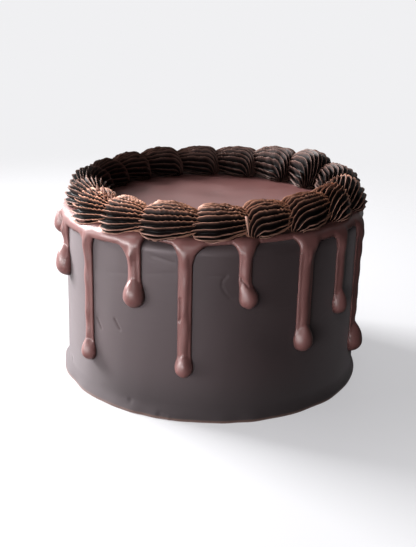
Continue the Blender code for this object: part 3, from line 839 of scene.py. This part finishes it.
# The face of a ridge from its crest down to the next one: how far along, and how deep as a share of a groove
RIDGE_FACE = (
    (0.0, 0.0),
    (0.045, 0.05),
    (0.10, 0.15),
    (0.20, 0.30),
    (0.35, 0.46),
    (0.50, 0.68),
    (0.62, 0.92),
    (0.76, 1.0),
    (0.88, 0.85),
    (0.955, 0.35),
)
FACE_ENDS = 0.8  # how far along a face the next ridge starts
UNDERSIDE_TURNS = (0.03, 0.1, 0.2, 0.3, 0.4, 0.5, 0.6, 0.7, 0.8, 0.9, 0.97)
UNDERSIDE_FALL = 0.3
LIT_EDGE_FALL, TORN_FALL = 0.17, 0.6  # depths at which a ridge's pale edge, partly a painted highlight, ends, and its tearing
HIGH_RIDGES = (math.radians(80), math.radians(25))  # turns from the top between which the tearing comes in
HEAD_RINGS = 32
TAIL_RINGS = 64
HEAD_POINT = 0.985  # how far towards the start of the ridges the first ring of a head lies
HEAD_SWIRL = 1.4  # how late the ridges of a head turn to their start
HEAD_STRETCH = 1.3  # the way over a head, as a share of its length
DEEPEST_HEAD, DEEPEST_TAIL = 0.7, 0.6  # the most of its own size that a groove takes
# A tail's underside, which spreads down to the ganache: turns from the top, shares of length and half width
FILL_FROM, FILL_WHOLE = math.radians(118), math.radians(148)
FILL_BEGINS = 0.15
FILL_WIDTH, FILL_NARROWING, FILL_CURVE = 0.92, 0.45, 1.5
FILL_DEPTH = 1.5 * MM
SHELL_SINK = 0.25 * MM  # how far the shells are pressed into the ganache
END_HALVINGS = 24
END_GROOVE = 0.8  # of a groove's depth, that counts where a tail meets the next shell
SHORTEST_TAIL = 0.35
NOSE_DEPTH = 0.3 * MM
# Lengths and heights along the ridges: a torn edge's zigzag and jags, how tall a ridge stands, the slow swell
ZIGZAG_LENGTH, ZIGZAG = 2.3 * MM, 0.42 * MM
JAG_LENGTH, JAG, JAG_SPAN = 1.8 * MM, 0.40 * MM, (-0.3, 1.2)
TALLER_LENGTH, TALLER = 9 * MM, 0.35 * MM
SWELL_WAY, SLOW_SWELL = 14 * MM, 0.15 * MM
SWELL_ROUND = 13 * MM  # of a shell, for the swell across its ridges
RIDGE_LOSS = 0.30 * MM  # how far the ridges lie inside the smooth form
TORN_LATE = (0.15, 0.8)  # shares of a tail between which it grows more torn
TORN_LEAST, TORN_HIGH, TORN_TAIL = 0.10, 0.75, 0.35
HIGH_EARLY = 0.45  # of the high ridges' tearing, that they have before that
START_CURVE = 0.6  # how near to their start the ridges of a head thin out
DEPTH_LEFT = 0.30  # of a groove's depth, kept where a tail is smallest
WISP_RADIUS = 79.6 * MM
WISP_ROOT, WISP_HANG = 2.2 * MM, 0.6 * MM  # how far inside that its foot lies, and how far outside its tip
TOOTH_ROOT = 0.8 * MM
SPIKE_SIDES = 8
SPIKE_RINGS = ((0.0, 1.0), (0.35, 0.74), (0.7, 0.38), (0.92, 0.14))  # how far up a spike, and how wide
# how pale the spikes' edges are, partly as a painted highlight, and how torn
SPIKE_LIT_EDGE, SPIKE_TORN = 0.8, 0.1


class PipedShell:
    """One shell of the border. Along is the way round the border from its widest place, towards its tail."""

    def __init__(self, index, piping, end, flow):
        self.index = index
        self.tail = math.radians(end - piping.start) * BORDER_RADIUS
        self.head = SHELL_HEAD * self.tail
        self.middle = math.radians(piping.start) + SHELL_WIDEST * self.tail / BORDER_RADIUS
        self.half_width = SHELL_HALF_WIDTH * piping.width
        self.rise = SHELL_RISE * piping.rise
        self.lean = math.radians(piping.lean)
        self.radius = BORDER_RADIUS + piping.outward * MM
        self.flow = flow

    def on_cake(self, along, across, up):
        """Points of the cake from the shell's own measures."""
        radius = self.radius + across * math.cos(self.lean) + up * math.sin(self.lean)
        z = GANACHE_TOP + up * math.cos(self.lean) - across * math.sin(self.lean)
        radius, z = rest_on_ganache(radius, z)
        return polar(radius, self.middle + along / BORDER_RADIUS, z)

    def head_points(self, past, around, depth):
        """Points of the head: past runs from 0 at the widest place to 1 where the ridges start."""
        latitude = past * math.pi / 2
        ring = math.cos(latitude)
        back = np.full_like(around, -math.sin(latitude))
        ball = np.stack((back, ring * np.sin(around), ring * np.cos(around)))
        turn = math.radians(self.flow.turn) * past**HEAD_SWIRL
        aim = np.array((0.0, self.flow.outwards, self.flow.upwards))
        axis = np.cross((-1.0, 0.0, 0.0), aim / np.linalg.norm(aim))
        beside = np.cross(axis, ball, axisb=0, axisc=0)
        on_axis = axis[:, None] * (axis @ ball)
        x, y, z = ball * math.cos(turn) + beside * math.sin(turn) + on_axis * (1 - math.cos(turn))
        blunt = (np.abs(x) ** HEAD_BLUNTNESS + np.hypot(y, z) ** HEAD_BLUNTNESS) ** (-1 / HEAD_BLUNTNESS)
        along, across = self.head * x * blunt, self.half_width * y * blunt
        up = np.where(z > 0, self.rise, SHELL_DROP) * z * blunt
        shrink = 1 - np.minimum(depth / np.sqrt(along**2 + across**2 + up**2), DEEPEST_HEAD)
        return along * shrink, across * shrink, SHELL_AXIS_HEIGHT + up * shrink

    def tail_points(self, along, around, depth):
        past = np.minimum(along / self.tail, 1.0)
        narrowing = past**TAIL_NARROWING
        width, rise = 1 - TAIL_PINCH * narrowing, 1 - TAIL_PINCH * past**TAIL_CURVE
        axis = SHELL_AXIS_HEIGHT + (TAIL_AXIS_HEIGHT - SHELL_AXIS_HEIGHT) * narrowing
        across = self.half_width * width * np.sin(around)
        up = self.rise * rise * np.cos(around)
        up = np.where(up > 0, up, SHELL_DROP * width * np.cos(around))
        shrink = 1 - np.minimum(depth / np.sqrt(across**2 + up**2), DEEPEST_TAIL)
        return self.filled_under(along, around, across * shrink, axis + up * shrink)

    def filled_under(self, along, around, across, up):
        """A tail spreads down to the ganache under its lowest ridges."""
        low = np.abs(wrapped(around))
        share = smoothstep(FILL_FROM, FILL_WHOLE, low) * smoothstep(0.0, FILL_BEGINS, along / self.tail)
        spread_to = 1 - FILL_NARROWING * np.minimum(along / self.tail, 1.0) ** FILL_CURVE
        inward = np.cos(np.clip((low - FILL_FROM) / (math.pi - FILL_FROM), 0.0, 1.0) * math.pi / 2)
        foot = np.sign(np.sin(around)) * self.half_width * spread_to * FILL_WIDTH * inward
        return along, across + (foot - across) * share, up + (-FILL_DEPTH - up) * share

    def holds(self, points):
        """Which points lie deeper than a tail's tuck in this shell's smooth outer form."""
        along = wrapped(np.arctan2(points[..., 1], points[..., 0]) - self.middle) * BORDER_RADIUS
        across, up = np.hypot(points[..., 0], points[..., 1]) - self.radius, points[..., 2] - GANACHE_TOP
        y = across * math.cos(self.lean) - up * math.sin(self.lean)
        z = across * math.sin(self.lean) + up * math.cos(self.lean) - SHELL_AXIS_HEIGHT
        x = np.minimum(along, 0) / (self.head - TAIL_TUCK)
        y = y / (self.half_width - TAIL_TUCK)
        z = z / (np.where(z > 0, self.rise, SHELL_DROP) - TAIL_TUCK)
        return np.abs(x) ** HEAD_BLUNTNESS + np.hypot(y, z) ** HEAD_BLUNTNESS < 1


def rest_on_ganache(radius, z):
    """The nearest places at radius and z or outside the ganache, pressed into it a little."""
    z = np.where(radius <= FLAT_TOP, np.maximum(z, GANACHE_TOP - SHELL_SINK), z)
    reach = BEND + POUR_DEPTH - SHELL_SINK
    out, up = radius - FLAT_TOP, z - BEND_CENTRE
    wall = (radius > FLAT_TOP) & (z <= BEND_CENTRE)
    radius = np.where(wall, np.maximum(radius, FLAT_TOP + reach), radius)
    distance = np.maximum(np.hypot(out, up), 1e-6)
    bend = (out > 0) & (up > 0) & (distance < reach)
    scale = np.where(bend, reach / distance, 1.0)
    radius = np.where(bend, FLAT_TOP + out * scale, radius)
    return radius, np.where(bend, BEND_CENTRE + up * scale, z)


def ridge_lines(rng):
    """Lines from head to tail: angle from the top, depth as a share of a groove, and number of its ridge."""
    sides = []
    for side, closeness in ((1, 1.0), (-1, INNER_CRESTS)):
        crests = [degrees + rng.uniform(-CREST_WANDER, CREST_WANDER) for degrees in OUTER_CRESTS[1:]]
        crests = [0.0, *(closeness * degrees for degrees in crests)]
        lines = []
        for k in range(len(crests) - 1):
            deep = rng.uniform(*GROOVE_SPREAD)
            for way, fall in RIDGE_FACE:
                degrees = crests[k] + (crests[k + 1] - crests[k]) * way
                ridge = k if way < FACE_ENDS else k + 1
                lines.append((side * math.radians(degrees), fall * deep, side * ridge))
        lines.append((side * math.radians(crests[-1]), 0.0, side * (len(crests) - 1)))
        sides.append(lines)
    outer, inner = sides
    lines = inner[:0:-1] + outer
    start, end = outer[-1][0], inner[-1][0] + math.tau
    for turn in UNDERSIDE_TURNS:
        lines.append((start + (end - start) * turn, UNDERSIDE_FALL, len(OUTER_CRESTS) - 1))
    return [np.array(column) for column in zip(*lines)]


def tail_ends(shell, following, around, fall):
    """How far each line of a tail runs before it is tucked into the next shell."""
    low, top = np.zeros(len(around)), np.full(len(around), shell.tail)
    for _ in range(END_HALVINGS):
        half = (low + top) / 2
        own = shell.tail_points(half, around, fall * GROOVE_DEPTH * END_GROOVE)
        met = following.holds(shell.on_cake(*own))
        low, top = np.where(met, low, half), np.where(met, half, top)
    return np.maximum(low, SHORTEST_TAIL * shell.tail)


def ridge_waves(rng, ridge, arc):
    """Each ridge's own waves along it: the zigzag and the jags of its edge, and how tall it stands."""
    zigzag, jag, taller = (np.zeros_like(arc) for _ in range(3))
    for number in sorted(set(ridge.tolist())):
        mine = ridge == number
        zigzag[:, mine] = Ripple(rng, ZIGZAG_LENGTH, spread=0.25)(arc[:, mine])
        jag[:, mine] = Ripple(rng, JAG_LENGTH)(arc[:, mine])
        taller[:, mine] = TALLER * Ripple(rng, TALLER_LENGTH)(arc[:, mine])
    return zigzag, jag, taller


def spikes_of(shell):
    """Foot, tip and width of each tooth and wisp of a shell."""
    spikes = []
    for tooth in TEETH.get(shell.index, ()):
        along, around = np.array([tooth.along * shell.tail]), np.array([math.radians(tooth.around)])
        foot = shell.tail_points(along, around, np.array([TOOTH_ROOT]))
        tip = shell.tail_points(along - TOOTH_ROOT, around, np.array([-tooth.height * MM]))
        spikes.append((shell.on_cake(*foot)[0], shell.on_cake(*tip)[0], tooth.width * MM))
    for wisp in WISPS:
        if wisp.shell == shell.index:
            foot = polar(WISP_RADIUS - WISP_ROOT, math.radians(wisp.from_angle), wisp.from_height * MM)
            tip = polar(WISP_RADIUS + WISP_HANG, math.radians(wisp.to_angle), wisp.to_height * MM)
            spikes.append((foot, tip, wisp.width * MM))
    return spikes


def add_spike(points, faces, foot, tip, width):
    """Adds a closed pointed spike to a mesh."""
    way = Vector(tip - foot)
    side = way.orthogonal().normalized()
    other = way.normalized().cross(side)
    start, rings = len(points), len(SPIKE_RINGS)
    for share, wide in SPIKE_RINGS:
        for k in range(SPIKE_SIDES):
            turn = math.tau * k / SPIKE_SIDES
            away = (side * math.cos(turn) + other * math.sin(turn)) * (0.5 * width * wide)
            points.append(tuple(Vector(foot) + way * share + away))
    points.append(tuple(tip))
    faces.append(tuple(start + k for k in reversed(range(SPIKE_SIDES))))
    faces.extend(grid_faces(rings, SPIKE_SIDES, start))
    last = start + (rings - 1) * SPIKE_SIDES
    for k in range(SPIKE_SIDES):
        faces.append((last + k, last + (k + 1) % SPIKE_SIDES, start + rings * SPIKE_SIDES))


def make_shell(shell, following, material):
    """Ridged plates that run from a swirled head to a tail tucked into the next shell."""
    rng = random.Random(SHELL_SEED + shell.index)
    around, fall, ridge = ridge_lines(rng)
    ends = tail_ends(shell, following, around, fall)
    head = -np.linspace(HEAD_POINT, 0.0, HEAD_RINGS, endpoint=False)
    run = np.concatenate((head, np.arange(TAIL_RINGS + 1) / TAIL_RINGS))[:, None]
    arc = np.where(run < 0, run * shell.head * HEAD_STRETCH, run * ends)

    zigzag, jag, taller = ridge_waves(rng, ridge, arc)
    slow = Ripple(rng, SWELL_WAY, dimensions=2)(arc, around * SWELL_ROUND)
    late = smoothstep(*TORN_LATE, run)
    high = smoothstep(*HIGH_RIDGES, np.abs(around)) * (HIGH_EARLY + (1 - HIGH_EARLY) * late)
    torn = shell.flow.tear * np.clip(TORN_LEAST + TORN_HIGH * high + TORN_TAIL * late, 0, 1)
    rough = np.clip(1 - fall / TORN_FALL, 0.0, 1.0) * torn

    depth = GROOVE_DEPTH * fall + JAG * rough * np.clip(jag, *JAG_SPAN)
    depth = depth + np.maximum(RIDGE_LOSS + SLOW_SWELL * slow + taller, 0)
    to_start = np.where(run < 0, np.cos(np.minimum(-run, 1.0) * math.pi / 2) ** START_CURVE, 1.0)
    to_tail = 1 - TAIL_PINCH * np.clip(run * ends / shell.tail, 0, 1) ** TAIL_NARROWING
    depth = depth * to_start * np.minimum(1.0, DEPTH_LEFT + to_tail)
    turned = around + ZIGZAG * rough * zigzag / shell.half_width

    rings = []
    for at, ring_around, ring_depth in zip(run[:, 0], turned, depth):
        if at < 0:
            own = shell.head_points(-at, ring_around, ring_depth)
        else:
            own = shell.tail_points(at * ends, ring_around, ring_depth)
        rings.append(shell.on_cake(*own))
    nose = shell.on_cake(*shell.head_points(1.0, np.zeros(1), np.full(1, NOSE_DEPTH)))
    points = np.concatenate((*rings, nose, [rings[-1].mean(axis=0)])).tolist()
    faces = tube_faces(len(rings), len(around))
    plain = len(points)
    for spike in spikes_of(shell):
        add_spike(points, faces, *spike)

    def for_every_point(on_rings, at_ends, on_spikes):
        rest = [at_ends] * 2 + [on_spikes] * (len(points) - plain)
        return np.concatenate((np.broadcast_to(on_rings, arc.shape).reshape(-1), rest))

    # A painted highlight along the crests, with the paleness of dried edges; weaker on the back shells, as
    # painted shade
    crest = np.clip(1 - fall / LIT_EDGE_FALL, 0.0, 1.0) * shell.flow.pale
    values = {
        "crest": for_every_point(crest, 0.0, SPIKE_LIT_EDGE),
        # how deep in a groove, for the painted shade there
        "groove_shade": for_every_point(fall, 1.0, 0.0),
        "torn": for_every_point(torn, 0.0, SPIKE_TORN),
    }
    name, node = f"piped_shell_{shell.index + 1:02d}", f"shell_{shell.index + 1:02d}"
    new_piece(name, points, faces, material, node, values)


def make_border(material):
    ends = [piping.start for piping in BORDER[1:]] + [BORDER[0].start + 360]
    shells = []
    for k, (piping, end) in enumerate(zip(BORDER, ends)):
        shells.append(PipedShell(k, piping, end, FLOWS.get(k, USUAL_FLOW)))
    for k, shell in enumerate(shells):
        make_shell(shell, shells[(k + 1) % len(shells)], material)


# ---------------------------------------------------------------- stage, light and camera

FLOOR_REACH = 3.0
FLOOR_TONE = (0.40, 0.40, 0.41)
FLOOR_BOUNCE = (0.07, 0.07, 0.07)  # the floor as the cake sees it, darker than the camera does
FLOOR_GLOW = 0.45  # lifts the shadows on the floor without lighting the cake from below
FLOOR_GLOW_TONE = (0.98, 0.97, 1.0, 1.0)
FLOOR_ROUGHNESS = 0.6
FLOOR_FADE = (0.10, 0.60)  # metres from the cake between which the floor gives way
# The room: where its bright side is and how bright, and the plain background that is seen
BRIGHT_SIDE = (-0.6, 1.0, 0.05)
BRIGHT_SIDE_LIGHT = 1.0
BRIGHT_SIDE_FALL = 2.0
BACKGROUND = (0.872, 0.872, 0.888, 1.0)
# A window: its bearing seen from above and how high it stands, both in degrees, its width and height in
# metres and its strength. The low ones light the wall and the drips, and pass under the inner faces of the
# far shells
Window = namedtuple("Window", "name bearing height width tall power")
WINDOWS = (
    Window("window_back_left", 152, 26, 0.6, 0.6, 60),
    Window("window_high", 170, 50, 0.6, 0.6, 5),
    Window("window_left", 198, 8, 0.6, 0.4, 13),
    Window("window_front_left", 237, 5, 1.4, 0.4, 15),
    Window("window_front", 268, 40, 0.6, 0.6, 2.6),
)
WINDOW_DISTANCE = 1.5
WINDOW_AIM = (0, 0, 0.06)
# The camera: its place in metres, its turns in radians, its frame in pixels, its sensor in millimetres, and
# the distances in metres between which it sees
CAMERA_AT = (0.0, -0.4794, 0.2146)
CAMERA_DOWN = 0.3312
CAMERA_YAW = -0.0047
CAMERA_ROLL = 0.0225
FOCAL_IN_PIXELS = 911.4
FRAME_HEIGHT = 547
SENSOR_WIDTH = 36.0
CLEAR_FROM, CLEAR_TO = 0.01, 20.0


def floor_material():
    """A pale floor that gives way to the plain background with distance, so that no horizon shows."""
    material = bpy.data.materials.new("pale_floor")
    material.use_nodes = True
    tree = material.node_tree
    shader = tree.nodes["Principled BSDF"]
    shader.inputs["Roughness"].default_value = FLOOR_ROUGHNESS
    shader.inputs["Emission Color"].default_value = FLOOR_GLOW_TONE
    place = add_node(tree, "ShaderNodeNewGeometry")
    away = add_node(tree, "ShaderNodeVectorMath", operation="LENGTH")
    connect(tree, place.outputs["Position"], away.inputs[0])
    fade = spread(tree, away.outputs["Value"], (*FLOOR_FADE, 1.0, 0.0), interpolation_type="SMOOTHSTEP")
    connect(tree, fade, shader.inputs["Alpha"])
    seen = add_node(tree, "ShaderNodeLightPath").outputs["Is Camera Ray"]
    connect(tree, blend(tree, seen, FLOOR_BOUNCE, FLOOR_TONE), shader.inputs["Base Color"])
    connect(tree, reckon(tree, "MULTIPLY", seen, FLOOR_GLOW), shader.inputs["Emission Strength"])
    return material


def make_floor():
    floor = bpy.data.meshes.new("floor")
    corners = [(x * FLOOR_REACH, y * FLOOR_REACH, 0) for x, y in ((-1, -1), (1, -1), (1, 1), (-1, 1))]
    floor.from_pydata(corners, [], [(0, 1, 2, 3)])
    floor.materials.append(floor_material())
    ground = bpy.data.objects.new("floor", floor)
    bpy.context.scene.collection.objects.link(ground)


def make_room():
    """A world that is bright on one side, and plain where the camera sees it."""
    world = bpy.data.worlds.new("studio")
    bpy.context.scene.world = world
    world.use_nodes = True
    tree = world.node_tree
    way = add_node(tree, "ShaderNodeTexCoord")
    towards = add_node(tree, "ShaderNodeVectorMath", operation="DOT_PRODUCT")
    towards.inputs[1].default_value = Vector(BRIGHT_SIDE).normalized()
    connect(tree, way.outputs["Generated"], towards.inputs[0])
    facing = reckon(tree, "MAXIMUM", towards.outputs["Value"], 0.0)
    falling = reckon(tree, "POWER", facing, BRIGHT_SIDE_FALL)
    light = tree.nodes["Background"]
    light.inputs["Color"].default_value = (1.0, 1.0, 1.0, 1.0)
    connect(tree, reckon(tree, "MULTIPLY", falling, BRIGHT_SIDE_LIGHT), light.inputs["Strength"])
    backdrop = add_node(tree, "ShaderNodeBackground")
    backdrop.inputs["Color"].default_value = BACKGROUND
    seen = add_node(tree, "ShaderNodeLightPath")
    either = add_node(tree, "ShaderNodeMixShader")
    connect(tree, seen.outputs["Is Camera Ray"], either.inputs["Fac"])
    connect(tree, light.outputs[0], either.inputs[1])
    connect(tree, backdrop.outputs[0], either.inputs[2])
    connect(tree, either.outputs[0], tree.nodes["World Output"].inputs["Surface"])


def bearing_and_height(bearing, height):
    """The direction with that bearing seen from above and that height, both in radians."""
    level = math.cos(height)
    return Vector((math.cos(bearing) * level, math.sin(bearing) * level, math.sin(height)))


def make_windows():
    for window in WINDOWS:
        lamp = bpy.data.lights.new(window.name, "AREA")
        lamp.shape = "RECTANGLE"
        lamp.size, lamp.size_y = window.width, window.tall
        lamp.energy = window.power
        holder = bpy.data.objects.new(window.name, lamp)
        bpy.context.scene.collection.objects.link(holder)
        towards = bearing_and_height(math.radians(window.bearing), math.radians(window.height))
        holder.location = WINDOW_DISTANCE * towards
        to_cake = Vector(WINDOW_AIM) - holder.location
        holder.rotation_euler = to_cake.to_track_quat("-Z", "Y").to_euler()


def make_camera():
    lens = bpy.data.cameras.new("camera")
    lens.sensor_width = SENSOR_WIDTH
    lens.lens = FOCAL_IN_PIXELS / FRAME_HEIGHT * lens.sensor_width
    lens.clip_start, lens.clip_end = CLEAR_FROM, CLEAR_TO
    camera = bpy.data.objects.new("camera", lens)
    bpy.context.scene.collection.objects.link(camera)
    forward = bearing_and_height(math.pi / 2 - CAMERA_YAW, -CAMERA_DOWN)
    right = bearing_and_height(-CAMERA_YAW, 0.0)
    up = right.cross(forward)
    rolled_right = right * math.cos(CAMERA_ROLL) + up * math.sin(CAMERA_ROLL)
    rolled_up = up * math.cos(CAMERA_ROLL) - right * math.sin(CAMERA_ROLL)
    turn = Matrix((rolled_right, rolled_up, -forward)).transposed()
    camera.matrix_world = Matrix.Translation(CAMERA_AT) @ turn.to_4x4()
    bpy.context.scene.camera = camera


def main():
    mottle = mottle_group()
    make_body(smooth_frosting_material(mottle))
    make_ganache(ganache_material(mottle))
    make_border(piped_frosting_material(mottle))
    make_floor()
    make_room()
    make_windows()
    make_camera()
    bpy.context.scene.view_settings.view_transform = "Standard"


main()
